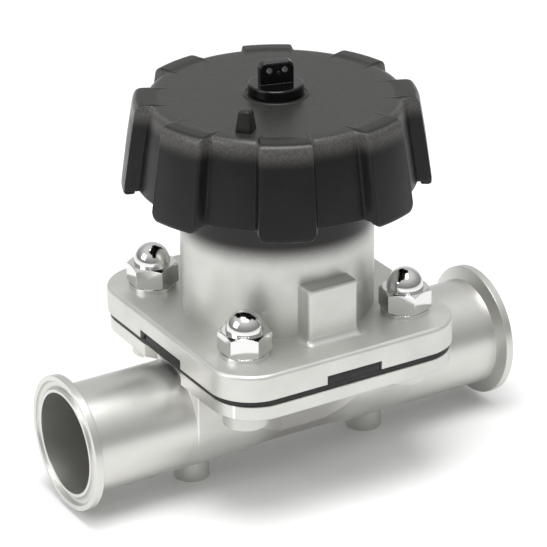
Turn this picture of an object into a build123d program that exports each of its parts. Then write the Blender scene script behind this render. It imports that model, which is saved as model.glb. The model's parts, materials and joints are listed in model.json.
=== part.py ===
"""Weir-type sanitary diaphragm valve, DN 40, clamp ferrule ends, plastic handwheel.

All sizes are millimetres. The pipe runs along X, the spindle along Z, and the origin lies
under the middle of the valve at the level of the feet. The valve is drawn fully open.
"""

import os
from math import cos, radians, sin, sqrt, tan

from build123d import *

os.makedirs("parts", exist_ok=True)

# Overshoot of cutting shapes, and the tolerance of edge selections
over = 1.0
near = 0.01

# Pipe ends: DIN 32676 series A, DN 40
face_to_face = 180.0
tube_r = 20.5
bore_r = 19.0
bore_depth = 44.0
passage_r = 18.6
ferrule_r = 25.25
ferrule_rim = 2.85
ferrule_cone = 20.0
groove_centre_r = 21.75
groove_section_r = 1.6
pipe_z = 27.5

# Flanges and bolting
flange_x = 100.0
flange_y = 107.0
flange_corner_r = 17.0
body_flange_x = 98.0
body_flange_t = 5.0
seat_z = pipe_z + 23.5
bonnet_flange_t = 10.0
bonnet_edge_r = 1.6
bolt_pitch = 68.0
stud_r = 5.0
stud_gap = 0.05
stud_floor_gap = 0.5
clearance_hole_r = 5.5
nut_flats = 17.0
nut_hex_h = 8.0
nut_total_h = 15.4
nut_dome_r = 6.8
nut_thread_h = 10.0
nut_chamfer_h = 0.9
nut_foot_chamfer_h = 0.6
nut_turns = {(-1, -1): -31.0, (1, -1): -42.0, (-1, 1): -37.0, (1, 1): -20.0}
washer_t = 1.6
washer_r = 9.0
washer_hole_r = 5.25

# Body casting
block_x = 92.0
waist_y = 34.0
waist_flat_x = 18.0
waist_x = 44.0
waist_lift = 0.8
waist_corner_r = 3.5
relief_reach = 20.0
wall = 1.7
boss_r = 8.4
boss_drop = 9.5
boss_floor = 2.0
scallop_depth = 5.0
scallop_width = 27.0
foot_r = 6.7
foot_pitch = 76.2
foot_thread_r = 2.5
foot_thread_depth = 6.0
weir_crest = 9.5
weir_crest_r = 3.5
weir_slope = 38.0
bowl_r = 26.0
bowl_neck_r = 23.0
bowl_slot = 56.0

# Diaphragm and its stud
diaphragm_t = 2.4
dome_rise = 3.5
dome_t = 2.8
dome_edge_r = 23.0
tab_set_back = 0.8
tab_side_gap_y = 0.5
tab_side_gap_x = 2.5
tab_top_gap = 0.3
rim_set_back = 0.5
pad_r = 6.0
pad_lift = 0.2
pad_h = dome_t + 0.8
stud_head_r = 4.5
stud_head_rise = 1.5
stud_shank_r = 3.0
stud_shank_length = 8.0

# Compressor and its pin
compressor_gap = 1.5
compressor_r = 21.0
compressor_width = 24.0
compressor_flat_r = 8.0
compressor_crown = 2.6
compressor_rim_h = 4.0
compressor_shoulder_r = 13.0
compressor_h = 14.0
guide_rib_h = 3.5
socket_depth = 5.0
pin_r = 1.5
pin_length = 24.0

# Bonnet casting
tower_r = 35.7
tower_top = 115.0
tower_foot_r = 3.6
tower_edge = 1.0
pad_width = 20.6
pad_centre_x = -1.4
pad_face_y = 41.5
pad_edge_r = 1.2
pad_top = pipe_z + 57.5
notch_h = 3.3
notch_y_width = 23.0
notch_x_width = 30.0
notch_depth = 7.0
chamber_r = 25.5
web_bottom = 84.0
web_top = 92.0
gland_bore_r = 20.0

# Drive
spindle_r = 7.0
spindle_set_back = 4.0
spindle_edge = 1.0
running_gap = 0.05
bush_r = 10.0
spindle_groove_r = 8.5
spindle_ring_r = 0.7
neck_groove_r = 12.2
neck_ring_r = 0.88
groove_h = 2.4
ring_preload = 0.06
thrust_washer_t = 1.5
thrust_r = 18.0
thrust_gap = 0.5
collar_gap = 0.3
collar_t = 5.0
neck_r = 14.0
neck_rise = 0.5
gland_top = 112.0
drive_hex = 22.0
drive_hex_gap = 0.1
drive_top = 130.0
screw_r = 4.0
screw_depth = 2.5
screw_hole_r = 4.3
screw_head_r = 6.5
screw_head_h = 4.6
screw_edge = 0.6
screw_key = 5.0
screw_key_depth = 2.8
wheel_washer_r = 8.0
wheel_washer_t = 1.6

# Handwheel and its insert
insert_r = 15.0
insert_lift = 1.0
insert_plate_t = 3.0
wheel_top = pipe_z + 117.0
wheel_lobe_bottom = pipe_z + 82.4
wheel_valley_bottom = pipe_z + 85.0
wheel_top_t = 3.5
lobe_count = 8
lobe_phase = 18.0
lobe_width = 22.0
lobe_tip_r = 56.5
lobe_tip_round_r = 5.0
lobe_tip_round_x = 3.0
lobe_tip_round_z = 4.0
lobe_shoulder_r = 53.0
lobe_shoulder_x = 6.0
lobe_shoulder_z = 7.0
lobe_shoulder_round_r = 8.0
lobe_root_r = 30.0
valley_tip_r = 51.5
valley_shoulder_r = 48.0
valley_shoulder_z = 6.0
valley_shoulder_round_r = 6.0
top_flat_r = 43.5
skirt_wall = 3.6
skirt_cove = 3.0
hub_r = 19.0
hub_lift = 4.0
rib_t = 3.0
rib_lift = 8.0
tab_angle = -137.6
tab_r = 37.0
tab_length = 7.0
tab_width = 6.0
tab_corner_r = 0.8
tab_taper_length = 0.62
tab_taper_width = 0.6
tab_h = 6.6

# Seal cap
cap_r = 10.05
cap_disc_t = 4.2
cap_edge_r = 0.8
cap_plug_r = 8.5
cap_plug_length = 4.5
cap_groove_r = 7.0
cap_groove_h = 1.9
cap_ring_r = 0.72
cap_well_gap = 0.08
wing_length = 12.6
wing_t = 4.0
wing_h = 8.2
wing_root = 0.5
wing_corner_r = 2.2
wing_edge_r = 0.7
wing_turn = -15.4
wing_hole_x = 2.85
wing_hole_drop = 2.95
wing_hole_r = 1.1
wing_dimple_x = 0.6
wing_dimple_drop = 3.9
wing_dimple_r = 0.6

# Derived levels
half_length = face_to_face / 2
bonnet_z = seat_z + diaphragm_t
flange_top = bonnet_z + bonnet_flange_t
flange_under = seat_z - body_flange_t
boss_z = flange_under - boss_drop
stud_hole_z = boss_z + boss_floor
stud_z = stud_hole_z + stud_floor_gap
nut_z = flange_top + washer_t
nut_hex_top = nut_z + nut_hex_h
dome_top = seat_z + dome_rise + dome_t
stud_foot_z = seat_z + dome_rise + stud_head_rise
compressor_z = dome_top + compressor_gap
compressor_edge_z = compressor_z - compressor_crown
compressor_top = compressor_z + compressor_h
spindle_z = compressor_top - socket_depth
spindle_top = drive_top - spindle_set_back
pin_z = compressor_top - socket_depth / 2
web_middle = (web_bottom + web_top) / 2
collar_z = web_top + thrust_washer_t
collar_top = collar_z + collar_t
gland_z = collar_top + thrust_washer_t
gland_middle = (gland_z + gland_top) / 2
insert_z = gland_top + insert_lift
insert_top = drive_top + insert_plate_t
screw_head_z = insert_top + wheel_washer_t
wheel_under = wheel_top - wheel_top_t
wing_z = wheel_top + cap_disc_t
cap_groove_z = wheel_top - cap_plug_length / 2
bolt_spots = {(i, j): (i * bolt_pitch / 2, j * bolt_pitch / 2) for i in (-1, 1) for j in (-1, 1)}
pipe_axis = Axis((0, 0, pipe_z), (1, 0, 0))
pipe_plane = Plane((0, 0, pipe_z), x_dir=(1, 0, 0), z_dir=(0, -1, 0))


def finish(part, name):
    """Label a finished piece and write it as its own STEP file."""
    part.label = name
    export_step(part, f"parts/{name}.step")
    print(name, round(part.volume), len(part.solids()))


def relief(half_y, half_edge, edge_y):
    """Closed outline beside the waist: everything further out than the waist wall."""
    far = edge_y + relief_reach
    return [
        (-half_edge, edge_y),
        (-waist_flat_x / 2, half_y),
        (waist_flat_x / 2, half_y),
        (half_edge, edge_y),
        (half_edge, far),
        (-half_edge, far),
    ]


def ring(inner, outer, bottom, height):
    """A plain round washer or ring about the spindle axis, as a finished solid."""
    with BuildPart() as made:
        with BuildSketch(Plane.XY.offset(bottom)):
            Circle(outer)
            Circle(inner, mode=Mode.SUBTRACT)
        extrude(amount=height)
    return made.part


def o_ring(groove_bottom_r, section_r, z):
    """A round-section sealing ring that rests on a groove's bottom, as a finished solid."""
    with BuildPart() as made:
        with BuildSketch(Plane.XZ):
            with Locations((groove_bottom_r, z)):
                Circle(section_r)
        revolve(axis=Axis.Z)
    return made.part


# The flow passage is the space that the body encloses: two bores, the bowl, less the weir.
inner_y = waist_y / 2 - wall
with BuildPart() as flow_passage:
    with BuildSketch(Plane.YZ.offset(-half_length)):
        with Locations((0, pipe_z)):
            Circle(passage_r)
    extrude(amount=face_to_face)
    with BuildSketch(Plane.XY.offset(pipe_z)):
        SlotOverall(bowl_slot, 2 * inner_y)
    extrude(amount=seat_z - pipe_z)
    with BuildSketch(Plane.XY):
        for side in (1, -1):
            outline = relief(inner_y, waist_x / 2 + wall, bore_r)
            Polygon(*[(x, side * y) for x, y in outline], align=None)
    extrude(amount=flange_under, mode=Mode.SUBTRACT)
    with BuildSketch(Plane.XY.offset(flange_under + over)):
        Circle(bowl_neck_r)
    with BuildSketch(Plane.XY.offset(seat_z)):
        Circle(bowl_r)
    loft()
    weir_half = weir_crest_r + (weir_crest + bore_r) * tan(radians(weir_slope))
    with BuildSketch(Plane.XZ):
        with BuildLine():
            Polyline(
                (-weir_half, pipe_z - bore_r - over),
                (-weir_crest_r, pipe_z + weir_crest),
                (weir_crest_r, pipe_z + weir_crest),
                (weir_half, pipe_z - bore_r - over),
                close=True,
            )
        make_face()
        fillet(vertices().group_by(Axis.Y)[-1], weir_crest_r)
    extrude(amount=bore_r + over, both=True, mode=Mode.SUBTRACT)

# Body: the tube with its ferrules, the block under the flange, the waist, bosses and feet
with BuildPart() as valve_body:
    cone_run = (ferrule_r - tube_r) * tan(radians(ferrule_cone))
    waist_r = tube_r - waist_lift
    with BuildSketch(pipe_plane):
        with BuildLine():
            Polyline(
                (0, 0),
                (-half_length, 0),
                (-half_length, ferrule_r),
                (ferrule_rim - half_length, ferrule_r),
                (ferrule_rim + cone_run - half_length, tube_r),
                (-waist_x / 2, tube_r),
            )
            ThreePointArc((-waist_x / 2, tube_r), (-waist_x / 4, waist_r), (0, waist_r))
            Line((0, waist_r), (0, 0))
        make_face()
    revolve(axis=pipe_axis)
    mirror(about=Plane.YZ)
    with BuildSketch(Plane.XY.offset(pipe_z)):
        Rectangle(block_x, 2 * tube_r)
    extrude(amount=flange_under - pipe_z + over)
    with BuildSketch(Plane.XY):
        for side in (1, -1):
            outline = relief(waist_y / 2, waist_x / 2, tube_r)
            Polygon(*[(x, side * y) for x, y in outline], align=None)
        fillet(vertices().filter_by(lambda v: abs(abs(v.Y) - waist_y / 2) < near), waist_corner_r)
    extrude(amount=flange_under, mode=Mode.SUBTRACT)
    with BuildSketch(Plane.XY.offset(flange_under)):
        RectangleRounded(body_flange_x, flange_y, flange_corner_r)
        scallop_r = (scallop_depth**2 + (scallop_width / 2) ** 2) / (2 * scallop_depth)
        with GridLocations(body_flange_x + 2 * (scallop_r - scallop_depth), 0, 2, 1):
            Circle(scallop_r, mode=Mode.SUBTRACT)
    extrude(amount=body_flange_t)
    with BuildSketch(Plane.XY.offset(boss_z)):
        with GridLocations(bolt_pitch, bolt_pitch, 2, 2):
            Circle(boss_r)
    extrude(amount=boss_drop + over)
    with BuildSketch(Plane.XY):
        with GridLocations(foot_pitch, 0, 2, 1):
            Circle(foot_r)
    extrude(amount=pipe_z - bore_r)
    add(flow_passage.part, mode=Mode.SUBTRACT)
    with BuildSketch(Plane.YZ) as bore_ends:
        with Locations((0, pipe_z)):
            Circle(bore_r)
    for end in (-half_length, half_length - bore_depth):
        extrude(bore_ends.sketch.moved(Location((end, 0, 0))), amount=bore_depth, mode=Mode.SUBTRACT)
    with BuildSketch(pipe_plane):
        with Locations((-half_length, groove_centre_r), (half_length, groove_centre_r)):
            Circle(groove_section_r)
    revolve(axis=pipe_axis, mode=Mode.SUBTRACT)
    with BuildSketch(Plane.XY.offset(stud_hole_z)):
        with GridLocations(bolt_pitch, bolt_pitch, 2, 2):
            Circle(stud_r)
    extrude(amount=seat_z - stud_hole_z, mode=Mode.SUBTRACT)
    with BuildSketch(Plane.XY):
        with GridLocations(foot_pitch, 0, 2, 1):
            Circle(foot_thread_r)
    extrude(amount=foot_thread_depth, mode=Mode.SUBTRACT)
finish(valve_body.part, "valve_body")

# The diaphragm: a clamped rim with a tab in each bonnet notch, and a dome at its open position.
with BuildPart() as diaphragm:
    with BuildSketch(Plane.XY.offset(seat_z)):
        RectangleRounded(body_flange_x, flange_y - 2 * rim_set_back, flange_corner_r)
        Circle(bowl_r, mode=Mode.SUBTRACT)
        with GridLocations(bolt_pitch, bolt_pitch, 2, 2):
            Circle(clearance_hole_r, mode=Mode.SUBTRACT)
    extrude(amount=diaphragm_t)
    with BuildSketch(Plane.XY.offset(bonnet_z)):
        with GridLocations(0, flange_y - notch_depth, 1, 2):
            Rectangle(notch_y_width - 2 * tab_side_gap_y, notch_depth - 2 * tab_set_back)
        with GridLocations(flange_x - notch_depth, 0, 2, 1):
            Rectangle(notch_depth - 2 * tab_set_back, notch_x_width - 2 * tab_side_gap_x)
    extrude(amount=notch_h - tab_top_gap)
    with BuildSketch(Plane.XZ):
        with BuildLine():
            TangentArc((0, seat_z + dome_rise), (bowl_r, seat_z), tangent=(1, 0))
            TangentArc((0, dome_top), (dome_edge_r, bonnet_z), tangent=(1, 0))
            Line((0, seat_z + dome_rise), (0, dome_top))
            Polyline((dome_edge_r, bonnet_z), (bowl_r, bonnet_z), (bowl_r, seat_z))
        make_face()
    revolve(axis=Axis.Z)
    with BuildSketch(Plane.XY.offset(seat_z + dome_rise + pad_lift)):
        Circle(pad_r)
    extrude(amount=pad_h)
    with BuildSketch(Plane.XY.offset(stud_foot_z)):
        Circle(stud_head_r)
    extrude(amount=dome_t + over, mode=Mode.SUBTRACT)
finish(diaphragm.part, "diaphragm")

# The stud that is moulded into the diaphragm and screws into the compressor.
with BuildPart() as diaphragm_stud:
    with BuildSketch(Plane.XY.offset(stud_foot_z)):
        Circle(stud_head_r - running_gap)
    extrude(amount=compressor_z - stud_foot_z)
    with BuildSketch(Plane.XY.offset(compressor_z)):
        Circle(stud_shank_r)
    extrude(amount=stud_shank_length)
finish(diaphragm_stud.part, "diaphragm_stud")

# The compressor presses the diaphragm on the weir. Its ribs slide in the bonnet's chamber.
with BuildPart() as compressor:
    with BuildSketch(Plane.XZ):
        with BuildLine():
            TangentArc(
                (compressor_flat_r, compressor_z), (compressor_r, compressor_edge_z), tangent=(1, 0)
            )
            Line((0, compressor_z), (compressor_flat_r, compressor_z))
            Polyline(
                (compressor_r, compressor_edge_z),
                (compressor_r, compressor_edge_z + compressor_rim_h),
                (compressor_shoulder_r, compressor_top),
                (0, compressor_top),
                (0, compressor_z),
            )
        make_face()
    revolve(axis=Axis.Z)
    with BuildSketch(Plane.XY.offset(compressor_edge_z - over)):
        SlotOverall(2 * compressor_r, compressor_width)
    extrude(amount=compressor_top - compressor_edge_z + 2 * over, mode=Mode.INTERSECT)
    with BuildSketch(Plane.XY.offset(compressor_top - guide_rib_h)):
        with PolarLocations(0, 2, start_angle=45, angular_range=180):
            Rectangle(2 * (chamber_r - over), rib_t)
    extrude(amount=guide_rib_h)
    with BuildSketch(Plane.XY.offset(compressor_z - over)):
        Circle(stud_shank_r + running_gap)
    extrude(amount=stud_shank_length + 2 * over, mode=Mode.SUBTRACT)
    with BuildSketch(Plane.XY.offset(spindle_z)):
        Circle(spindle_r + running_gap)
    extrude(amount=socket_depth + over, mode=Mode.SUBTRACT)
    with BuildSketch(Plane.YZ):
        with Locations((0, pin_z)):
            Circle(pin_r + running_gap)
    extrude(amount=chamber_r, both=True, mode=Mode.SUBTRACT)
finish(compressor.part, "compressor")

# Spindle, and the cross pin that holds the compressor on it
with BuildPart() as spindle:
    with BuildSketch(Plane.XY.offset(spindle_z)):
        Circle(spindle_r)
    extrude(amount=spindle_top - spindle_z)
    chamfer(faces().sort_by(Axis.Z)[-1].edges(), spindle_edge)
    with BuildSketch(Plane.YZ):
        with Locations((0, pin_z)):
            Circle(pin_r + running_gap)
    extrude(amount=spindle_r + over, both=True, mode=Mode.SUBTRACT)
finish(spindle.part, "spindle")

with BuildPart() as compressor_pin:
    with BuildSketch(Plane.YZ):
        with Locations((0, pin_z)):
            Circle(pin_r)
    extrude(amount=pin_length / 2, both=True)
finish(compressor_pin.part, "compressor_pin")

# Bonnet casting: square flange, round tower, a pad on the front and the back, edge notches.
with BuildPart() as bonnet:
    with BuildSketch(Plane.XY.offset(bonnet_z)):
        RectangleRounded(flange_x, flange_y, flange_corner_r)
    extrude(amount=bonnet_flange_t)
    fillet(faces().sort_by(Axis.Z)[-1].edges(), bonnet_edge_r)
    with BuildSketch(Plane.XY.offset(flange_top)):
        Circle(tower_r)
        with Locations((pad_centre_x, 0)):
            Rectangle(pad_width, 2 * pad_face_y)
    extrude(amount=pad_top - flange_top)
    above_flange = edges().filter_by(lambda e: e.center().Z > flange_top + near)
    pad_corners = above_flange.filter_by(Axis.Z).filter_by(lambda e: abs(e.center().Y) > pad_face_y - over)
    fillet(pad_corners, pad_edge_r)
    pad_rims = edges().group_by(Axis.Z)[-1].filter_by(lambda e: abs(e.center().Y) > tower_r - 2 * over)
    fillet(pad_rims, pad_edge_r)
    foot_edges = edges().filter_by(
        lambda e: abs(e.center().Z - flange_top) < near
        and abs(e.center().X) < tower_r
        and abs(e.center().Y) < pad_face_y + over
    )
    fillet(foot_edges, tower_foot_r)
    with BuildSketch(Plane.XY.offset(pad_top - over)):
        Circle(tower_r)
    extrude(amount=tower_top - pad_top + over)
    chamfer(faces().sort_by(Axis.Z)[-1].edges(), tower_edge)
    with BuildSketch(Plane.XY.offset(bonnet_z)):
        with GridLocations(0, flange_y, 1, 2):
            Rectangle(notch_y_width, 2 * notch_depth)
        with GridLocations(flange_x, 0, 2, 1):
            Rectangle(2 * notch_depth, notch_x_width)
    extrude(amount=notch_h, mode=Mode.SUBTRACT)
    with BuildSketch(Plane.XY.offset(bonnet_z)):
        with GridLocations(bolt_pitch, bolt_pitch, 2, 2):
            Circle(clearance_hole_r)
    extrude(amount=bonnet_flange_t, mode=Mode.SUBTRACT)
    with BuildSketch(Plane.XY.offset(bonnet_z)):
        Circle(chamber_r)
    extrude(amount=web_bottom - bonnet_z, mode=Mode.SUBTRACT)
    with BuildSketch(Plane.XY.offset(web_bottom)):
        Circle(bush_r)
    extrude(amount=web_top - web_bottom, mode=Mode.SUBTRACT)
    with BuildSketch(Plane.XY.offset(web_top)):
        Circle(gland_bore_r)
    extrude(amount=tower_top - web_top, mode=Mode.SUBTRACT)
finish(bonnet.part, "bonnet")

# Fasteners of the bonnet
with BuildPart() as bonnet_studs:
    with BuildSketch(Plane.XY.offset(stud_z)):
        with GridLocations(bolt_pitch, bolt_pitch, 2, 2):
            Circle(stud_r - stud_gap)
    extrude(amount=nut_hex_top + over - stud_z)
finish(bonnet_studs.part, "bonnet_studs")

with BuildPart() as stud_washers:
    with BuildSketch(Plane.XY.offset(flange_top)):
        with GridLocations(bolt_pitch, bolt_pitch, 2, 2):
            Circle(washer_r)
            Circle(washer_hole_r, mode=Mode.SUBTRACT)
    extrude(amount=washer_t)
finish(stud_washers.part, "stud_washers")

with BuildPart() as one_nut:
    nut_corner_r = nut_flats / sqrt(3)
    dome_foot_z = nut_hex_top - over
    dome_wall_top = nut_z + nut_total_h - nut_dome_r
    with BuildSketch(Plane.XY.offset(nut_z)):
        RegularPolygon(nut_flats / 2, 6, major_radius=False)
    extrude(amount=nut_hex_h)
    with BuildSketch(Plane.XZ):
        with BuildLine():
            Polyline(
                (0, nut_z),
                (nut_flats / 2, nut_z),
                (nut_corner_r, nut_z + nut_foot_chamfer_h),
                (nut_corner_r, nut_hex_top - nut_chamfer_h),
                (nut_flats / 2 - washer_hole_r + stud_r, nut_hex_top),
                (0, nut_hex_top),
                close=True,
            )
        make_face()
    revolve(axis=Axis.Z, mode=Mode.INTERSECT)
    with BuildSketch(Plane.XZ):
        with BuildLine():
            Polyline((0, dome_foot_z), (nut_dome_r, dome_foot_z), (nut_dome_r, dome_wall_top))
            TangentArc((nut_dome_r, dome_wall_top), (0, nut_z + nut_total_h), tangent=(0, 1))
            Line((0, nut_z + nut_total_h), (0, dome_foot_z))
        make_face()
    revolve(axis=Axis.Z)
    with BuildSketch(Plane.XY.offset(nut_z)):
        Circle(stud_r)
    extrude(amount=nut_thread_h, mode=Mode.SUBTRACT)
with BuildPart() as dome_nuts:
    for spot, (x, y) in bolt_spots.items():
        with Locations(Location((x, y, 0), (0, 0, nut_turns[spot]))):
            add(one_nut.part)
finish(dome_nuts.part, "dome_nuts")

# Bush, seals and thrust parts of the drive
with BuildPart() as guide_bush:
    with BuildSketch(Plane.XY.offset(web_bottom)):
        Circle(bush_r)
        Circle(spindle_r + running_gap, mode=Mode.SUBTRACT)
    extrude(amount=web_top - web_bottom)
    with BuildSketch(Plane.XZ):
        with Locations((spindle_r, web_middle)):
            Rectangle(2 * (spindle_groove_r - spindle_r), groove_h)
    revolve(axis=Axis.Z, mode=Mode.SUBTRACT)
finish(guide_bush.part, "guide_bush")
finish(o_ring(spindle_r + spindle_ring_r + ring_preload, spindle_ring_r, web_middle), "spindle_seal")
finish(ring(bush_r + thrust_gap, thrust_r, web_top, thrust_washer_t), "lower_thrust_washer")
finish(ring(neck_r + thrust_gap, thrust_r, collar_top, thrust_washer_t), "upper_thrust_washer")
finish(ring(neck_r + running_gap, gland_bore_r, gland_z, gland_top - gland_z), "gland_ring")

with BuildPart() as drive_nut:
    with BuildSketch(Plane.XY.offset(collar_z)):
        Circle(thrust_r - collar_gap)
    extrude(amount=collar_t)
    with BuildSketch(Plane.XY.offset(collar_z)):
        Circle(neck_r)
    extrude(amount=gland_top + neck_rise - collar_z)
    with BuildSketch(Plane.XY.offset(gland_top)):
        RegularPolygon(drive_hex / 2, 6, major_radius=False)
    extrude(amount=drive_top - gland_top)
    with BuildSketch(Plane.XY.offset(collar_z)):
        Circle(spindle_r + running_gap)
    extrude(amount=spindle_top + over - collar_z, mode=Mode.SUBTRACT)
    with BuildSketch(Plane.XY.offset(drive_top)):
        Circle(screw_r)
    extrude(amount=-screw_depth, mode=Mode.SUBTRACT)
    with BuildSketch(Plane.XZ):
        with Locations((neck_r, gland_middle)):
            Rectangle(2 * (neck_r - neck_groove_r), groove_h)
    revolve(axis=Axis.Z, mode=Mode.SUBTRACT)
finish(drive_nut.part, "drive_nut")
finish(o_ring(neck_groove_r + neck_ring_r + 0.02, neck_ring_r, gland_middle), "neck_seal")

# Insert, washer and screw that fix the handwheel on the drive nut
with BuildPart() as hub_insert:
    with BuildSketch(Plane.XY.offset(insert_z)):
        Circle(insert_r)
        RegularPolygon(drive_hex / 2 + drive_hex_gap, 6, major_radius=False, mode=Mode.SUBTRACT)
    extrude(amount=drive_top - insert_z)
    with BuildSketch(Plane.XY.offset(drive_top)):
        Circle(insert_r)
        Circle(screw_hole_r, mode=Mode.SUBTRACT)
    extrude(amount=insert_plate_t)
finish(hub_insert.part, "hub_insert")
finish(ring(screw_hole_r, wheel_washer_r, insert_top, wheel_washer_t), "wheel_washer")

with BuildPart() as wheel_screw:
    with BuildSketch(Plane.XY.offset(drive_top - screw_depth)):
        Circle(screw_r - stud_gap)
    extrude(amount=screw_head_z - drive_top + screw_depth)
    with BuildSketch(Plane.XY.offset(screw_head_z)):
        Circle(screw_head_r)
    extrude(amount=screw_head_h)
    chamfer(faces().sort_by(Axis.Z)[-1].edges(), screw_edge)
    with BuildSketch(Plane.XY.offset(screw_head_z + screw_head_h)):
        RegularPolygon(screw_key / 2, 6, major_radius=False)
    extrude(amount=-screw_key_depth, mode=Mode.SUBTRACT)
finish(wheel_screw.part, "wheel_screw")

# Handwheel: a cup with a flat top, eight lobes round it, ribs and a hub inside
inner_r = valley_shoulder_r - skirt_wall
with BuildPart() as handwheel:
    valley_bend = (valley_shoulder_r, wheel_top - valley_shoulder_z)
    with BuildSketch(Plane.XZ):
        with BuildLine():
            Line((0, wheel_valley_bottom), (valley_tip_r, wheel_valley_bottom))
            Line((valley_tip_r, wheel_valley_bottom), valley_bend)
            RadiusArc(valley_bend, (top_flat_r, wheel_top), -valley_shoulder_round_r)
            Polyline((top_flat_r, wheel_top), (0, wheel_top), (0, wheel_valley_bottom))
        make_face()
    revolve(axis=Axis.Z)
    tip_foot = (lobe_tip_r - lobe_tip_round_x, wheel_lobe_bottom)
    tip_side = (lobe_tip_r, wheel_lobe_bottom + lobe_tip_round_z)
    lobe_bend = (lobe_shoulder_r, wheel_top - lobe_shoulder_z)
    lobe_top_edge = (lobe_shoulder_r - lobe_shoulder_x, wheel_top)
    for i in range(lobe_count):
        start = lobe_phase + 360 * i / lobe_count - lobe_width / 2
        with BuildSketch(Plane.XZ.rotated((0, 0, start))):
            with BuildLine():
                Line((lobe_root_r, wheel_lobe_bottom), tip_foot)
                RadiusArc(tip_foot, tip_side, -lobe_tip_round_r)
                Line(tip_side, lobe_bend)
                RadiusArc(lobe_bend, lobe_top_edge, -lobe_shoulder_round_r)
                Polyline(lobe_top_edge, (lobe_root_r, wheel_top), (lobe_root_r, wheel_lobe_bottom))
            make_face()
        revolve(axis=Axis.Z, revolution_arc=lobe_width)
    with BuildSketch(Plane.XZ):
        Polygon(
            (0, wheel_lobe_bottom),
            (valley_tip_r - skirt_wall, wheel_lobe_bottom),
            (inner_r, wheel_under - skirt_cove),
            (inner_r - skirt_cove, wheel_under),
            (0, wheel_under),
            align=None,
        )
    revolve(axis=Axis.Z, mode=Mode.SUBTRACT)
    with BuildSketch(Plane.XY.offset(insert_z + hub_lift)):
        Circle(hub_r)
    extrude(amount=wheel_under - insert_z - hub_lift)
    with BuildSketch(Plane.XY.offset(tower_top + rib_lift)):
        with PolarLocations(0, lobe_count // 2, start_angle=lobe_phase, angular_range=180):
            Rectangle(2 * inner_r, rib_t)
    extrude(amount=wheel_under - tower_top - rib_lift)
    with BuildSketch(Plane.XY.offset(insert_z)):
        Circle(insert_r)
    extrude(amount=insert_top - insert_z, mode=Mode.SUBTRACT)
    with BuildSketch(Plane.XY.offset(insert_top)):
        Circle(cap_plug_r + cap_well_gap)
    extrude(amount=wheel_top - insert_top, mode=Mode.SUBTRACT)
    tab_spot = (tab_r * cos(radians(tab_angle)), tab_r * sin(radians(tab_angle)), wheel_top)
    tab_place = Plane(tab_spot).rotated((0, 0, tab_angle))
    with BuildSketch(tab_place.offset(-over)):
        RectangleRounded(tab_length, tab_width, tab_corner_r)
    with BuildSketch(tab_place.offset(tab_h)):
        RectangleRounded(tab_length * tab_taper_length, tab_width * tab_taper_width, tab_corner_r)
    loft()
finish(handwheel.part, "handwheel")

# Seal cap with its wing, and the ring that seals it in the wheel's well
with BuildPart() as seal_cap:
    with BuildSketch(Plane.XY.offset(wheel_top)):
        Circle(cap_r)
    extrude(amount=cap_disc_t)
    fillet(faces().sort_by(Axis.Z)[-1].edges(), cap_edge_r)
    with BuildSketch(Plane.XY.offset(wheel_top - cap_plug_length)):
        Circle(cap_plug_r)
    extrude(amount=cap_plug_length)
    wing_plane = Plane((0, 0, wing_z)).rotated((0, 0, wing_turn))
    wing_side = Plane((0, 0, wing_z), x_dir=wing_plane.x_dir, z_dir=-wing_plane.y_dir)
    with BuildSketch(wing_side):
        with Locations((0, (wing_h - wing_root) / 2)):
            Rectangle(wing_length, wing_h + wing_root)
        fillet(vertices().group_by(Axis.Y)[-1], wing_corner_r)
    extrude(amount=wing_t / 2, both=True)
    wing_edges = edges().filter_by(lambda e: e.center().Z > wing_z + wing_root).filter_by(
        lambda e: abs(abs(e.center().dot(wing_plane.y_dir)) - wing_t / 2) < near
    )
    fillet(wing_edges, wing_edge_r)
    with BuildSketch(wing_side):
        for side in (-1, 1):
            with Locations((side * wing_hole_x, wing_h - wing_hole_drop)):
                Circle(wing_hole_r)
        with Locations((wing_dimple_x, wing_h - wing_dimple_drop)):
            Circle(wing_dimple_r)
    extrude(amount=wing_t, both=True, mode=Mode.SUBTRACT)
    with BuildSketch(Plane.XZ):
        with Locations((cap_plug_r, cap_groove_z)):
            Rectangle(2 * (cap_plug_r - cap_groove_r), cap_groove_h)
    revolve(axis=Axis.Z, mode=Mode.SUBTRACT)
finish(seal_cap.part, "seal_cap")
finish(o_ring(cap_groove_r + cap_ring_r + 0.03, cap_ring_r, cap_groove_z), "cap_seal")
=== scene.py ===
"""The diaphragm valve's looks: camera, light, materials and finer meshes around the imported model."""

import json
import math

import bmesh
import bpy
from mathutils import Matrix, Vector


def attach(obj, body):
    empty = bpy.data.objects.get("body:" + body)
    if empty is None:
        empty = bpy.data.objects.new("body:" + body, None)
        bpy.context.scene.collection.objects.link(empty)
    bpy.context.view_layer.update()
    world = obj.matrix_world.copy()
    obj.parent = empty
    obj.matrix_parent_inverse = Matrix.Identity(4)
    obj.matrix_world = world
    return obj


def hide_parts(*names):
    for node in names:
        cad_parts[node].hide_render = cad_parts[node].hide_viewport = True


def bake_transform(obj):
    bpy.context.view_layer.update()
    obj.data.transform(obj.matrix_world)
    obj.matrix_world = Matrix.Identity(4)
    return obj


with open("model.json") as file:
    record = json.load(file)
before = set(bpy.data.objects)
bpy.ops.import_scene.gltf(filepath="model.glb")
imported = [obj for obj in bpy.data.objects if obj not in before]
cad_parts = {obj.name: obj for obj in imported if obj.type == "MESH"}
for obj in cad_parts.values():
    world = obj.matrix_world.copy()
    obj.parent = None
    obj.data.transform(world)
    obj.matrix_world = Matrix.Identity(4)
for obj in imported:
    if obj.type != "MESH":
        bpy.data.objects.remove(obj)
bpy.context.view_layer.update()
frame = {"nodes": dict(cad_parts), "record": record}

nodes = frame["nodes"]
MM = 0.001


# ---------------------------------------------------------------- camera

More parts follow.
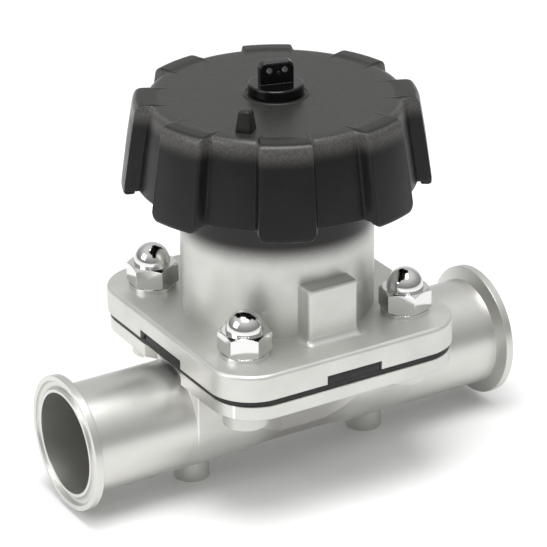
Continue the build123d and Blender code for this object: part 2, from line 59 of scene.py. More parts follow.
CAMERA_AZIMUTH = -30.868
CAMERA_ELEVATION = 24.796
CAMERA_ROLL = -0.468
CAMERA_DISTANCE = 1.0455
CAMERA_TARGET = Vector((0, 0, 0.0775))
CAMERA_LENS = 186.7
CAMERA_SENSOR = 36
CAMERA_SHIFT = (-0.0069, -0.0202)


def add_camera():
    """The camera stands in front and to the left, looking down on the valve through a long lens."""
    azimuth = math.radians(CAMERA_AZIMUTH)
    elevation = math.radians(CAMERA_ELEVATION)
    roll = math.radians(CAMERA_ROLL)
    flat = math.cos(elevation)
    back = Vector((math.sin(azimuth) * flat, -math.cos(azimuth) * flat, math.sin(elevation)))
    level = Vector((math.cos(azimuth), math.sin(azimuth), 0))
    upright = back.cross(level)
    right = level * math.cos(roll) + upright * math.sin(roll)
    up = upright * math.cos(roll) - level * math.sin(roll)
    data = bpy.data.cameras.new("camera")
    data.lens = CAMERA_LENS
    data.sensor_width = CAMERA_SENSOR
    data.shift_x, data.shift_y = CAMERA_SHIFT
    data.clip_end = 20
    camera = bpy.data.objects.new("camera", data)
    turn = Matrix((right, up, back)).transposed().to_4x4()
    camera.matrix_world = Matrix.Translation(CAMERA_TARGET + back * CAMERA_DISTANCE) @ turn
    bpy.context.scene.view_settings.view_transform = "Standard"
    bpy.context.scene.collection.objects.link(camera)
    bpy.context.scene.camera = camera


# ---------------------------------------------------------------- node helpers

# The Mix node has its colour sockets after those for numbers and vectors.
MIX_COLOUR_A = 6
MIX_COLOUR_B = 7
MIX_COLOUR_RESULT = 2


def feed(tree, socket, value):
    """Links another socket to this one, or sets it to a number or a colour."""
    if isinstance(value, bpy.types.NodeSocket):
        tree.links.new(value, socket)
    elif isinstance(value, tuple):
        socket.default_value = (*value, 1)
    else:
        socket.default_value = value


def mix_colours(tree, factor, a, b, blend_type="MIX"):
    """Blends two colours by a factor. Each of the three is a socket or a plain value."""
    node = tree.nodes.new("ShaderNodeMix")
    node.data_type = "RGBA"
    node.blend_type = blend_type
    feed(tree, node.inputs["Factor"], factor)
    feed(tree, node.inputs[MIX_COLOUR_A], a)
    feed(tree, node.inputs[MIX_COLOUR_B], b)
    return node.outputs[MIX_COLOUR_RESULT]


def colour_ramp(tree, value, stops):
    """Colour or grey by value. Each stop is (position, colour or grey), in rising order."""
    node = tree.nodes.new("ShaderNodeValToRGB")
    elements = node.color_ramp.elements
    while len(elements) < len(stops):
        elements.new(0.5)
    for element, (position, colour) in zip(elements, stops):
        element.position = position
        grey = not isinstance(colour, tuple)
        element.color = (colour, colour, colour, 1) if grey else (*colour, 1)
    feed(tree, node.inputs[0], value)
    return node.outputs[0]


# ---------------------------------------------------------------- light and floor

# Room light by height, from the horizon to overhead, and by direction, towards the right rear.
LIGHT_BY_HEIGHT = [(0.0, 0.22), (0.42, 0.45), (0.8, 0.8)]
LIGHT_BY_REAR = [(0.35, 0.0), (0.9, 0.72)]
REAR_DIRECTION = (0.513, 0.858, 0)

FLOOR_REACH = 6.0
FLOOR_ALBEDO = 0.93

# Soft boxes: place, size in metres and power in watts.
SOFT_BOXES = {
    "overhead": ((-0.1, -0.2, 1.1), 0.62, 8.8),
    "left_fill": ((-1.3, 0.1, 0.8), 0.8, 6),
}
SOFT_BOX_TARGET = (0, 0, 0.08)


def add_room_light():
    """Pale room light that is dim near the horizon in front and brighter at the rear."""
    world = bpy.data.worlds.new("studio")
    bpy.context.scene.world = world
    world.use_nodes = True
    tree = world.node_tree
    direction = tree.nodes.new("ShaderNodeTexCoord").outputs["Generated"]
    split = tree.nodes.new("ShaderNodeSeparateXYZ")
    feed(tree, split.inputs[0], direction)
    facing = tree.nodes.new("ShaderNodeVectorMath")
    facing.operation = "DOT_PRODUCT"
    facing.inputs[1].default_value = REAR_DIRECTION
    feed(tree, facing.inputs[0], direction)
    by_height = colour_ramp(tree, split.outputs["Z"], LIGHT_BY_HEIGHT)
    by_rear = colour_ramp(tree, facing.outputs["Value"], LIGHT_BY_REAR)
    total = mix_colours(tree, 1, by_height, by_rear, "LIGHTEN")
    feed(tree, tree.nodes["Background"].inputs["Color"], total)


def add_floor():
    """A plain pale floor."""
    mesh = bpy.data.meshes.new("floor")
    corners = [(x * FLOOR_REACH, y * FLOOR_REACH, 0) for x, y in ((-1, -1), (1, -1), (1, 1), (-1, 1))]
    mesh.from_pydata(corners, [], [(0, 1, 2, 3)])
    floor = bpy.data.objects.new("floor", mesh)
    bpy.context.scene.collection.objects.link(floor)
    material = bpy.data.materials.new("floor")
    material.use_nodes = True
    shader = material.node_tree.nodes["Principled BSDF"]
    shader.inputs["Base Color"].default_value = (FLOOR_ALBEDO, FLOOR_ALBEDO, FLOOR_ALBEDO, 1)
    shader.inputs["Roughness"].default_value = 1
    shader.inputs["Specular IOR Level"].default_value = 0
    mesh.materials.append(material)


def add_soft_boxes():
    """Square soft lights that look at the middle of the valve."""
    for name, (place, size, power) in SOFT_BOXES.items():
        data = bpy.data.lights.new(name, "AREA")
        data.shape = "SQUARE"
        data.size = size
        data.energy = power
        light = bpy.data.objects.new(name, data)
        look = Vector(SOFT_BOX_TARGET) - Vector(place)
        light.matrix_world = Matrix.Translation(place) @ look.to_track_quat("-Z", "Y").to_matrix().to_4x4()
        bpy.context.scene.collection.objects.link(light)


# ---------------------------------------------------------------- materials

class Painter:
    """Builds one node material. Object coordinates are metres, so every texture's size is in real units."""

    def __init__(self, name, colour, metallic, roughness):
        self.material = bpy.data.materials.new(name)
        self.material.use_nodes = True
        self.tree = self.material.node_tree
        self.shader = self.tree.nodes["Principled BSDF"]
        self.shader.inputs["Base Color"].default_value = (*colour, 1)
        self.shader.inputs["Metallic"].default_value = metallic
        self.shader.inputs["Roughness"].default_value = roughness
        self.coords = self.tree.nodes.new("ShaderNodeTexCoord").outputs["Object"]
        self.split = None
        self.normal = None

    def stretched(self, scale):
        """Object coordinates with each axis scaled, for streaks."""
        mapping = self.tree.nodes.new("ShaderNodeMapping")
        mapping.inputs["Scale"].default_value = scale
        feed(self.tree, mapping.inputs["Vector"], self.coords)
        return mapping.outputs[0]

    def noise(self, grain_mm, detail, rough=0.5, vector=None):
        """Noise whose features are about grain_mm across."""
        node = self.tree.nodes.new("ShaderNodeTexNoise")
        node.inputs["Scale"].default_value = 1 / (grain_mm * MM)
        node.inputs["Detail"].default_value = detail
        node.inputs["Roughness"].default_value = rough
        feed(self.tree, node.inputs["Vector"], vector or self.coords)
        return node.outputs[0]

    def ramp(self, value, stops):
        return colour_ramp(self.tree, value, stops)

    def mix(self, factor, a, b):
        return mix_colours(self.tree, factor, a, b)

    def math(self, operation, a, b=0.0):
        node = self.tree.nodes.new("ShaderNodeMath")
        node.operation = operation
        feed(self.tree, node.inputs[0], a)
        feed(self.tree, node.inputs[1], b)
        return node.outputs[0]

    def axis(self, name):
        """One object coordinate, in metres."""
        if not self.split:
            self.split = self.tree.nodes.new("ShaderNodeSeparateXYZ")
            feed(self.tree, self.split.inputs[0], self.coords)
        return self.split.outputs[name]

    def distance(self, name):
        """How far a point is from the middle along one axis, in metres."""
        return self.math("ABSOLUTE", self.axis(name))

    def fade(self, value, start_mm, end_mm):
        """0 before start and 1 after end, smooth between them. The two may come in either order."""
        node = self.tree.nodes.new("ShaderNodeMapRange")
        node.interpolation_type = "SMOOTHSTEP"
        node.inputs["From Min"].default_value = start_mm * MM
        node.inputs["From Max"].default_value = end_mm * MM
        feed(self.tree, node.inputs["Value"], value)
        return node.outputs[0]

    def colour(self, value):
        feed(self.tree, self.shader.inputs["Base Color"], value)

    def metallic(self, value):
        feed(self.tree, self.shader.inputs["Metallic"], value)

    def roughness(self, value):
        feed(self.tree, self.shader.inputs["Roughness"], value)

    def use_normal(self, value):
        self.normal = value
        feed(self.tree, self.shader.inputs["Normal"], value)

    def round_edges(self, radius_mm):
        """Lets sharp edges catch the light as if they were rounded. Comes before any bump."""
        node = self.tree.nodes.new("ShaderNodeBevel")
        node.samples = 6
        node.inputs["Radius"].default_value = radius_mm * MM
        self.use_normal(node.outputs[0])

    def add_bump(self, height, depth_mm, strength=1.0):
        """Stacks a bump of that depth on those before it."""
        node = self.tree.nodes.new("ShaderNodeBump")
        node.inputs["Distance"].default_value = depth_mm * MM
        node.inputs["Strength"].default_value = strength
        feed(self.tree, node.inputs["Height"], height)
        if self.normal:
            feed(self.tree, node.inputs["Normal"], self.normal)
        self.use_normal(node.outputs[0])


# A blasted casting scatters part of the light, and a turned tube mirrors nearly all of it.
CAST_METALLIC = 0.62
TURNED_METALLIC = 0.93
STEEL = (0.62, 0.617, 0.588)
STEEL_DULL = (0.59, 0.588, 0.560)
STEEL_PALE = (0.66, 0.658, 0.628)
STEEL_TURNED = (0.64, 0.637, 0.608)
# Painted highlight colour for the block's edge.
STEEL_EDGE_HIGHLIGHT = (0.97, 0.96, 0.94)

# Painted shade in the recess under the flange, in millimetres. The shade is full near its middle, at its face
# and below its top, and fades towards its ends, the pipe's axis and the flange.
RECESS_MIDDLE_X = 9
RECESS_END_X = 22
RECESS_INNER_Y = 9
RECESS_FACE_Y = 15
RECESS_TOP_Z = 44
RECESS_FLANGE_Z = 47
RECESS_STRENGTH = 0.75
RECESS_SHADE_COLOUR = (0.34, 0.33, 0.315)
RECESS_ROUGHNESS = (0.5, 0.5, 0.5)

# Distances from the middle of the block's edge, with its painted highlight line, and of the start of the
# tube. The painted highlight shows on the upper half of the block only.
BLOCK_EDGE_X = 46.0
CREASE_HALF_WIDTH = 0.5
CREASE_CORE = 0.1
CREASE_START_Z = 20
CREASE_FULL_Z = 30
TUBE_START_X = 46.2

# Painted shade: the tower's neck is painted nearly black between these heights, for the handwheel's shadow
# and its dark reflection.
NECK_START_Z = 90
NECK_FULL_Z = 100
NECK_SHADE_COLOUR = (0.02, 0.0185, 0.018)
NECK_ROUGHNESS = (0.2, 0.2, 0.2)


def recess_painted_shade(paint):
    """Painted shade: the recess under the flange, front and back, is painted darker and rougher than the rest
    of the body.
    """
    inside = paint.fade(paint.distance("X"), RECESS_END_X, RECESS_MIDDLE_X)
    outward = paint.fade(paint.distance("Y"), RECESS_INNER_Y, RECESS_FACE_Y)
    low = paint.fade(paint.axis("Z"), RECESS_FLANGE_Z, RECESS_TOP_Z)
    mask = paint.math("MULTIPLY", paint.math("MULTIPLY", inside, outward), low)
    return paint.math("MULTIPLY", mask, RECESS_STRENGTH), RECESS_SHADE_COLOUR, RECESS_ROUGHNESS


def block_crease_highlight(paint):
    """A painted highlight along the edge where the block under the flange meets the tube."""
    along = paint.distance("X")
    rising = paint.fade(along, BLOCK_EDGE_X - CREASE_HALF_WIDTH, BLOCK_EDGE_X - CREASE_CORE)
    falling = paint.fade(along, BLOCK_EDGE_X + CREASE_HALF_WIDTH, BLOCK_EDGE_X + CREASE_CORE)
    line = paint.math("MULTIPLY", rising, falling)
    return paint.math("MULTIPLY", line, paint.fade(paint.axis("Z"), CREASE_START_Z, CREASE_FULL_Z))


def neck_painted_shade(paint):
    """Painted shade: the tower's neck, under the handwheel, is painted nearly black."""
    return paint.fade(paint.axis("Z"), NECK_START_Z, NECK_FULL_Z), NECK_SHADE_COLOUR, NECK_ROUGHNESS


def pipe_ends(paint):
    """The tube and the ferrules, outside the block."""
    return paint.math("GREATER_THAN", paint.distance("X"), TUBE_START_X * MM)


def cast_steel(name, tone=None, turned=None, edge_highlight=None):
    """Bead-blasted stainless casting. Masks paint shade on it, give it a turned finish and paint highlights
    on its edges.
    """
    paint = Painter(name, STEEL, CAST_METALLIC, 0.40)
    paint.round_edges(0.45)
    cloud = paint.ramp(paint.noise(16, 4), [(0.3, STEEL_DULL), (0.7, STEEL_PALE)])
    rough = paint.ramp(paint.noise(5, 5), [(0.25, 0.35), (0.75, 0.45)])
    # Painted highlight along the block's edge.
    if edge_highlight:
        cloud = paint.mix(edge_highlight(paint), cloud, STEEL_EDGE_HIGHLIGHT)
    # Painted shade from the recess mask or the neck mask.
    if tone:
        mask, dark, dark_rough = tone(paint)
        cloud = paint.mix(mask, cloud, dark)
        rough = paint.mix(mask, rough, dark_rough)
    if turned:
        tube = turned(paint)
        streaks = paint.noise(1.0, 4, 0.6, paint.stretched((1.4, 0.04, 0.04)))
        tube_rough = paint.ramp(streaks, [(0.25, 0.34), (0.8, 0.40)])
        cloud = paint.mix(tube, cloud, STEEL_TURNED)
        rough = paint.mix(tube, rough, tube_rough)
        paint.metallic(paint.mix(tube, (CAST_METALLIC,) * 3, (TURNED_METALLIC,) * 3))
        paint.add_bump(paint.math("MULTIPLY", streaks, tube), 0.004)
    paint.colour(cloud)
    paint.roughness(rough)
    paint.add_bump(paint.noise(0.5, 2), 0.018, 0.6)
    return paint.material


def bright_steel(name):
    """Polished stainless of the nuts, the washers and the wheel's screw."""
    paint = Painter(name, (0.72, 0.72, 0.71), 1.0, 0.09)
    paint.round_edges(0.3)
    paint.roughness(paint.ramp(paint.noise(2.5, 5), [(0.3, 0.06), (0.8, 0.16)]))
    paint.add_bump(paint.noise(6, 2), 0.01, 0.5)
    return paint.material


def add_turning_marks(paint, smooth, coarse):
    """Fine rings round the spindle axis, in the bump and in the roughness between two values."""
    rings = paint.noise(0.5, 3, 0.5, paint.stretched((0.1, 0.1, 1.6)))
    paint.roughness(paint.ramp(rings, [(0.3, smooth), (0.7, coarse)]))
    paint.add_bump(rings, 0.01, 0.6)


def machined_steel(name):
    """Turned steel of the spindle, the compressor, the studs and the gland."""
    paint = Painter(name, (0.56, 0.56, 0.55), 1.0, 0.28)
    add_turning_marks(paint, 0.22, 0.38)
    return paint.material


def bronze(name):
    """Turned bronze of the bush and the drive nut."""
    paint = Painter(name, (0.62, 0.42, 0.20), 1.0, 0.3)
    paint.colour(paint.ramp(paint.noise(6, 4), [(0.3, (0.50, 0.33, 0.16)), (0.7, (0.66, 0.46, 0.24))]))
    add_turning_marks(paint, 0.24, 0.40)
    return paint.material


# The height of the handwheel's disc, in millimetres.
WHEEL_TOP = 144.5

# Tones of the handwheel's plastic, and the heights between which they fade. The top face's pale tone is a
# painted sheen, and the shoulders' pale tone a painted highlight.
GRIP_DARK = (0.004, 0.0036, 0.0034)
GRIP_PALE = (0.007, 0.0063, 0.006)
GRIP_FACE_SHEEN = (0.012, 0.0118, 0.0102)
GRIP_SHOULDER_HIGHLIGHT = (0.09, 0.088, 0.083)
GRIP_SHOULDER_ROUGHNESS = (0.27, 0.27, 0.27)
FACE_START_Z = WHEEL_TOP - 1
FACE_FULL_Z = WHEEL_TOP - 0.1
SHOULDER_START_Z = 136
SHOULDER_FULL_Z = 142.5
SHOULDER_TOP_Z = 144.0
SHOULDER_END_Z = 144.7


def grip_plastic(name):
    """Black moulded plastic with a fine spark-eroded grain, with a painted sheen on its top face and painted
    highlights on its shoulders.
    """
    paint = Painter(name, (0.010, 0.010, 0.0095), 0.0, 0.44)
    paint.shader.inputs["Specular IOR Level"].default_value = 0.26
    height = paint.axis("Z")
    grain = paint.ramp(paint.noise(9, 4), [(0.3, GRIP_DARK), (0.7, GRIP_PALE)])
    # Painted sheen: the top face is painted paler.
    tone = paint.mix(paint.fade(height, FACE_START_Z, FACE_FULL_Z), grain, GRIP_FACE_SHEEN)
    # Painted highlight: the shoulders are painted paler and made smoother, speckled with fine grain.
    shoulder = paint.fade(height, SHOULDER_START_Z, SHOULDER_FULL_Z)
    shoulder_highlight = paint.math("MULTIPLY", shoulder, paint.fade(height, SHOULDER_END_Z, SHOULDER_TOP_Z))
    specks = paint.ramp(paint.noise(0.9, 3, 0.6), [(0.35, 0.6), (0.65, 1.0)])
    paint.colour(paint.mix(paint.math("MULTIPLY", shoulder_highlight, specks), tone, GRIP_SHOULDER_HIGHLIGHT))
    rough = paint.ramp(paint.noise(1.2, 5), [(0.25, 0.28), (0.75, 0.40)])
    paint.roughness(paint.mix(shoulder_highlight, rough, GRIP_SHOULDER_ROUGHNESS))
    paint.add_bump(paint.noise(0.6, 2, 0.6), 0.06, 0.8)
    return paint.material


def gloss_plastic(name):
    """Glossy black plastic of the seal cap."""
    paint = Painter(name, (0.002, 0.002, 0.002), 0.0, 0.14)
    paint.shader.inputs["Specular IOR Level"].default_value = 0.4
    paint.round_edges(0.3)
    paint.roughness(paint.ramp(paint.noise(2.0, 4), [(0.3, 0.10), (0.8, 0.22)]))
    paint.add_bump(paint.noise(1.6, 2), 0.012, 0.6)
    return paint.material


def white_plastic(name):
    """Waxy white plastic of the thrust washers."""
    paint = Painter(name, (0.80, 0.79, 0.76), 0.0, 0.4)
    paint.colour(paint.ramp(paint.noise(4, 4), [(0.3, (0.76, 0.75, 0.71)), (0.7, (0.84, 0.83, 0.80))]))
    paint.roughness(paint.ramp(paint.noise(1.0, 4), [(0.3, 0.35), (0.7, 0.5)]))
    paint.add_bump(paint.noise(0.6, 2), 0.01)
    return paint.material


def rubber(name):
    """Dull black rubber of the diaphragm and the seals."""
    paint = Painter(name, (0.016, 0.016, 0.016), 0.0, 0.62)
    paint.colour(paint.ramp(paint.noise(3, 4), [(0.3, (0.012, 0.012, 0.012)), (0.7, (0.024, 0.023, 0.022))]))
    paint.roughness(paint.ramp(paint.noise(1.0, 4), [(0.3, 0.55), (0.7, 0.75)]))
    paint.add_bump(paint.noise(0.5, 3), 0.03, 0.8)
    return paint.material


BY_SLOT = {
    "cast_steel": cast_steel("cast_steel"),
    "polished_steel": bright_steel("polished_steel"),
    "machined_steel": machined_steel("machined_steel"),
    "bronze": bronze("bronze"),
    "black_grip": grip_plastic("black_grip"),
    "black_gloss": gloss_plastic("black_gloss"),
    "white_ptfe": white_plastic("white_ptfe"),
    "black_rubber": rubber("black_rubber"),
}
BY_NODE = {
    "valve_body": cast_steel("body_steel", recess_painted_shade, pipe_ends, block_crease_highlight),
    "bonnet": cast_steel("bonnet_steel", neck_painted_shade),
}


def finish_nodes():
    """Each CAD node gets its own material, or the one of its slot."""
    for part in frame["record"]["subparts"]:
        node = nodes[part["node"]]
        material = BY_NODE.get(part["node"]) or BY_SLOT[part["material_slot"]]
        node.data.materials.clear()
        node.data.materials.append(material)


# ---------------------------------------------------------------- mesh helpers

def rounded_path(corners, steps=6):
    """Points along a closed outline of (r, z, radius) corners.

    Each corner with a radius is rounded with the same number of points, by less where its sides are short.
    """
    points = []
    for i, (r, z, radius) in enumerate(corners):
        here = Vector((r, z))
        if radius == 0:
            points.append(here)
            continue
        before = Vector(corners[i - 1][:2])
        after = Vector(corners[(i + 1) % len(corners)][:2])
        to_before = (before - here).normalized()
        to_after = (after - here).normalized()
        half_angle = to_before.angle(to_after) / 2
        cut = min(radius / math.tan(half_angle), 0.45 * (before - here).length, 0.45 * (after - here).length)
        start, end = here + to_before * cut, here + to_after * cut
        for k in range(steps + 1):
            t = k / steps
            points.append(start * (1 - t) ** 2 + here * 2 * t * (1 - t) + end * t * t)
    return points


def smoothstep(value):
    value = min(max(value, 0.0), 1.0)
    return value * value * (3 - 2 * value)


def loop_mesh(bm, rings):
    """Joins closed rings of points, all of one length, into a closed surface."""
    made = [[bm.verts.new(point) for point in ring] for ring in rings]
    count = len(made)
    for i in range(count):
        a, b = made[i], made[(i + 1) % count]
        for k in range(len(a)):
            after = (k + 1) % len(a)
            bm.faces.new((a[k], a[after], b[after], b[k]))


def lathe(bm, profile, steps=72):
    """Revolves a closed profile of (r, z) about the spindle axis."""
    rings = []
    for k in range(steps):
        c, s = math.cos(2 * math.pi * k / steps), math.sin(2 * math.pi * k / steps)
        rings.append([Vector((r * c, r * s, z)) for r, z in profile])
    loop_mesh(bm, rings)
    bmesh.ops.remove_doubles(bm, verts=bm.verts, dist=1e-4)
    bmesh.ops.dissolve_degenerate(bm, edges=bm.edges, dist=1e-4)


def rounded_rectangle(half_x, half_y, corner_r, z, steps=12):
    """Points anticlockwise round a rounded rectangle."""
    points = []
    for quarter in range(4):
        sign_x = 1 if quarter in (0, 3) else -1
        sign_y = 1 if quarter < 2 else -1
        for k in range(steps + 1):
            angle = math.pi / 2 * (quarter + k / steps)
            x = sign_x * (half_x - corner_r) + corner_r * math.cos(angle)
            y = sign_y * (half_y - corner_r) + corner_r * math.sin(angle)
            points.append(Vector((x, y, z)))
    return points


def tapered_block(bm, size, top_scale, turn, bevel, segments):
    """A block on its base centre, narrower at the top, with rounded edges, placed by a matrix."""
    part = bmesh.new()
    bmesh.ops.create_cube(part, size=1)
    for vert in part.verts:
        x, y, z = vert.co
        grow = top_scale if z > 0 else 1
        vert.co = Vector((x * size[0] * grow, y * size[1] * grow, (z + 0.5) * size[2]))
    bmesh.ops.bevel(part, geom=part.edges[:], offset=bevel, segments=segments, profile=0.5, affect="EDGES")
    part.transform(turn)
    copy = bpy.data.meshes.new("part")
    part.to_mesh(copy)
    part.free()
    bm.from_mesh(copy)
    bpy.data.meshes.remove(copy)


def finished_object(bm, name, slot, sharp_angle=40):
    """Turns a mesh in millimetres into an object in metres with smooth shading and sharp creases."""
    bmesh.ops.scale(bm, vec=(MM, MM, MM), verts=bm.verts)
    bmesh.ops.recalc_face_normals(bm, faces=bm.faces)
    for face in bm.faces:
        face.smooth = True
    for edge in bm.edges:
        edge.smooth = len(edge.link_faces) == 2 and edge.calc_face_angle(0) < math.radians(sharp_angle)
    mesh = bpy.data.meshes.new(name)
    bm.to_mesh(mesh)
    bm.free()
    mesh.materials.append(BY_SLOT[slot])
    made = bpy.data.objects.new(name, mesh)
    bpy.context.scene.collection.objects.link(made)
    return made


# ---------------------------------------------------------------- handwheel

# Angles in degrees from the middle of a lobe. Its face ends at LOBE_FACE and its flank at LOBE_BASE, and
# its foot is rounded over the last CORNER_ANGLE of the face, where it rises by CORNER_LIFT millimetres.
LOBES = 8
LOBE_PHASE = 18
LOBE_FACE = 10.0
LOBE_BASE = 12.6
CORNER_ANGLE = 2.2
CORNER_LIFT = 2.0
FLANK_STEP = 0.2
FLANK_STEPS = 27
OTHER_ANGLES = [2, 4, 6, 15, 17, 19, 21]

# The section, in millimetres. Each pair is the value in a valley and the value on a lobe.
DISC_EDGE_R = (37, 42.0)
CREST_R = (40, 45.0)
SHOULDER_R = (46.7, 51.3)
WALL_R = (49.2, 54.0)
FOOT_R = (51.6, 56.6)
FOOT_ROUND = (1.0, 5.0)
INNER_FOOT_R = (47.9, 52.4)
INNER_WALL_R = (46.3, 50.6)
INNER_SHOULDER_R = (44.6, 47.8)
VALLEY_FOOT_Z = 112.5
LOBE_FOOT_Z = 110.2
CREST_RISE = 0.3
DISC_ROUND = 3.0
SHOULDER_ROUND = 6.5
INNER_ROUND = 2.5
WALL_Z = 129
WALL_BOW = 300
INNER_WALL_Z = 126
DISC_T = 3.6
DISC_POINTS_R = (20, 30)

# The well for the cap, the raised ring round it, and the hub below.
WELL_R = 8.58
WELL_RIM_DEPTH = 1.5
WELL_RIM_ROUND = 0.5
RING_INNER_R = 10.6
RING_OUTER_R = 12.3
RING_INNER_SLOPE = 0.4
RING_OUTER_SLOPE = 0.6
RING_RISE = 0.4
HUB_R = 19
HUB_ROUND = 1.5
HUB_FOOT_Z = 117
INSERT_R = 15.02
INSERT_TOP = 133.0

# The ribs under the disc and the index tab on it. Sizes are (radial, across, height).
RIB_R = 33.4
RIB_FOOT_Z = 123
RIB_SIZE = (31, 3, 18.4)
TAB_ANGLE = -137.6
TAB_R = 36.6
TAB_SINK = 0.8
TAB_SIZE = (7.2, 6.2, 8.4)
TAB_TOP_SCALE = 0.68


def wheel_section(weight, lift):
    """The wheel's closed section in (r, z) millimetres.

    weight is 0 in a valley and 1 on a lobe, and lift raises the foot of the lobe at its corners.
    """

    def between(pair):
        valley, lobe = pair
        return valley + (lobe - valley) * weight

    top = WHEEL_TOP
    under = WHEEL_TOP - DISC_T
    crest = top + CREST_RISE * weight
    foot = between((VALLEY_FOOT_Z, LOBE_FOOT_Z + lift))
    return rounded_path(
        [
            (WELL_R, INSERT_TOP, 0),
            (WELL_R, top - WELL_RIM_DEPTH, 0),
            (WELL_R, top, WELL_RIM_ROUND),
            (RING_INNER_R, top, 0),
            (RING_INNER_R + RING_INNER_SLOPE, top + RING_RISE, 0.3),
            (RING_OUTER_R - RING_OUTER_SLOPE, top + RING_RISE, 0.4),
            (RING_OUTER_R, top, 0.8),
            (DISC_POINTS_R[0], top, 0),
            (DISC_POINTS_R[1], top, 0),
            (between(DISC_EDGE_R), top, DISC_ROUND),
            (between(CREST_R), crest, DISC_ROUND),
            (between(SHOULDER_R), crest, SHOULDER_ROUND),
            (between(WALL_R), WALL_Z, WALL_BOW),
            (between(FOOT_R), foot, between(FOOT_ROUND)),
            (between(INNER_FOOT_R), foot, 0.8),
            (between(INNER_WALL_R), INNER_WALL_Z, 0),
            (between(INNER_SHOULDER_R), under, INNER_ROUND),
            (DISC_POINTS_R[1], under, 0),
            (HUB_R, under, HUB_ROUND),
            (HUB_R, HUB_FOOT_Z, 0.8),
            (INSERT_R, HUB_FOOT_Z, 0.4),
            (INSERT_R, INSERT_TOP, 0),
        ]
    )


def lobe_angles():
    """(angle about the axis, angle from the lobe's middle) in degrees, close together on the flanks."""
    period = 360 / LOBES
    flank = [LOBE_FACE - CORNER_ANGLE + FLANK_STEP * k for k in range(FLANK_STEPS)]
    right = sorted(OTHER_ANGLES + flank)
    local = [-a for a in reversed(right)] + [0] + right + [period / 2]
    return [(LOBE_PHASE + period * i + a, a) for i in range(LOBES) for a in local]


def build_handwheel():
    """The lobed shell with its ribs and index tab, in place of the CAD handwheel."""
    bm = bmesh.new()
    rings = []
    for angle, local in lobe_angles():
        weight = smoothstep((LOBE_BASE - abs(local)) / (LOBE_BASE - LOBE_FACE))
        beyond = min(max(abs(local) - LOBE_FACE + CORNER_ANGLE, 0), CORNER_ANGLE) / CORNER_ANGLE
        lift = CORNER_LIFT * (1 - math.sqrt(1 - beyond * beyond))
        c, s = math.cos(math.radians(angle)), math.sin(math.radians(angle))
        rings.append([Vector((p.x * c, p.x * s, p.y)) for p in wheel_section(weight, lift)])
    loop_mesh(bm, rings)
    for i in range(LOBES):
        angle = math.radians(LOBE_PHASE + 360 / LOBES * i)
        turn = Matrix.Rotation(angle, 4, "Z") @ Matrix.Translation((RIB_R, 0, RIB_FOOT_Z))
        tapered_block(bm, RIB_SIZE, 1, turn, 0.6, 2)
    place = Matrix.Translation((TAB_R, 0, WHEEL_TOP - TAB_SINK))
    turn = Matrix.Rotation(math.radians(TAB_ANGLE), 4, "Z") @ place
    tapered_block(bm, TAB_SIZE, TAB_TOP_SCALE, turn, 0.8, 4)
    wheel = finished_object(bm, "handwheel_shell", "black_grip", 50)
    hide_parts("handwheel")
    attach(wheel, "wheel")


# ---------------------------------------------------------------- diaphragm

# The rim that the flanges clamp, in millimetres.
SEAT_Z = 51.0
RIM_T = 2.4
RIM_TOP_Z = SEAT_Z + RIM_T
RIM_HALF_X = 49.0
RIM_HALF_Y = 53.0
RIM_CORNER_R = 17.0
RIM_INNER_R = 25.0
RIM_EDGE_INSET = 0.3
RIM_EDGE_DROP = 0.4
BOLT_HALF_PITCH = 34.0
BOLT_HOLE_R = 5.5
CUTTER_LENGTH = 20

# The tabs in the flange notches, at the ends and the sides: distance from the axis, and the block's
# (radial, across, height).
END_TAB = (46.4, (5.2, 25, 3.6))
SIDE_TAB = (50.1, (5.6, 22, 3.6))
FLANGE_TAB_SINK = 0.6

# Profiles of the centre and the web in (r, z), in the open position.
CENTRE_UNDER = [(0, 54.6), (6, 54.7), (9, 54.9), (11, 55.3), (11.8, 56.0)]
CENTRE_OVER = [(11.4, 57.0), (8, 57.3), (0, 57.3)]
WEB_UNDER = [(10.4, 54.7), (11.6, 54.5), (13.2, 53.7), (15.0, 52.9), (18, 52.5), (22, 52.2), (25.4, 52.0)]
WEB_OVER = [(25.4, 52.7), (22, 52.8), (18, 53.0), (15.2, 53.3), (13.6, 54.2), (12.0, 55.0), (10.4, 55.3)]


def make_bolt_cutter():
    """Four rods where the studs pass through the rim."""
    bm = bmesh.new()
    for i in (-1, 1):
        for j in (-1, 1):
            bmesh.ops.create_cone(
                bm,
                cap_ends=True,
                segments=32,
                radius1=BOLT_HOLE_R,
                radius2=BOLT_HOLE_R,
                depth=CUTTER_LENGTH,
                matrix=Matrix.Translation((i * BOLT_HALF_PITCH, j * BOLT_HALF_PITCH, SEAT_Z)),
            )
    return finished_object(bm, "cutter", "black_rubber")


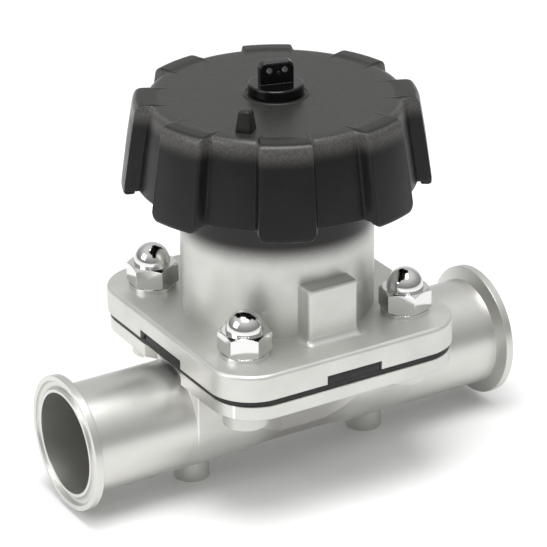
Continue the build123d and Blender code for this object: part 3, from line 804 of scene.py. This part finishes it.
def make_rim():
    """The rounded rectangle between the flanges, with a round opening and its bolt holes."""
    bm = bmesh.new()
    edge = (
        (RIM_EDGE_INSET, SEAT_Z),
        (0, SEAT_Z + RIM_EDGE_DROP),
        (0, RIM_TOP_Z - RIM_EDGE_DROP),
        (RIM_EDGE_INSET, RIM_TOP_Z),
    )
    outer = [
        rounded_rectangle(RIM_HALF_X - inset, RIM_HALF_Y - inset, RIM_CORNER_R - inset, z)
        for inset, z in edge
    ]
    inner = [
        [Vector((RIM_INNER_R * p.x / p.xy.length, RIM_INNER_R * p.y / p.xy.length, z)) for p in outer[0]]
        for z in (RIM_TOP_Z, SEAT_Z)
    ]
    loop_mesh(bm, outer + inner)
    rim = finished_object(bm, "diaphragm_rim", "black_rubber")
    cutter = make_bolt_cutter()
    cut = rim.modifiers.new("holes", "BOOLEAN")
    cut.operation = "DIFFERENCE"
    cut.object = cutter
    bpy.context.view_layer.update()
    drilled = bpy.data.meshes.new_from_object(rim.evaluated_get(bpy.context.evaluated_depsgraph_get()))
    rim.modifiers.clear()
    rim.data = drilled
    bpy.data.objects.remove(cutter)
    return rim


def make_tabs():
    """The four tabs that show in the notches of the flanges."""
    bm = bmesh.new()
    for quarter in range(4):
        out, size = SIDE_TAB if quarter % 2 else END_TAB
        place = Matrix.Translation((out, 0, RIM_TOP_Z - FLANGE_TAB_SINK))
        tapered_block(bm, size, 1, Matrix.Rotation(math.pi / 2 * quarter, 4, "Z") @ place, 0.3, 2)
    return finished_object(bm, "diaphragm_tabs", "black_rubber")


def make_turned(name, profile, sharp_angle=40):
    """A round piece of the diaphragm, from its closed profile."""
    bm = bmesh.new()
    lathe(bm, profile)
    return finished_object(bm, name, "black_rubber", sharp_angle)


def build_diaphragm():
    """A rigid rim with its tabs, a centre that the compressor carries, and the web between them."""
    rim = make_rim()
    tabs = make_tabs()
    centre = make_turned("diaphragm_centre", CENTRE_UNDER + CENTRE_OVER)
    web = make_turned("diaphragm_web", WEB_UNDER + WEB_OVER, 60)
    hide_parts("diaphragm")
    for piece in (rim, tabs):
        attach(piece, "housing")
    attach(centre, "stem")
    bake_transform(web)


add_camera()
add_room_light()
add_floor()
add_soft_boxes()
finish_nodes()
build_handwheel()
build_diaphragm()
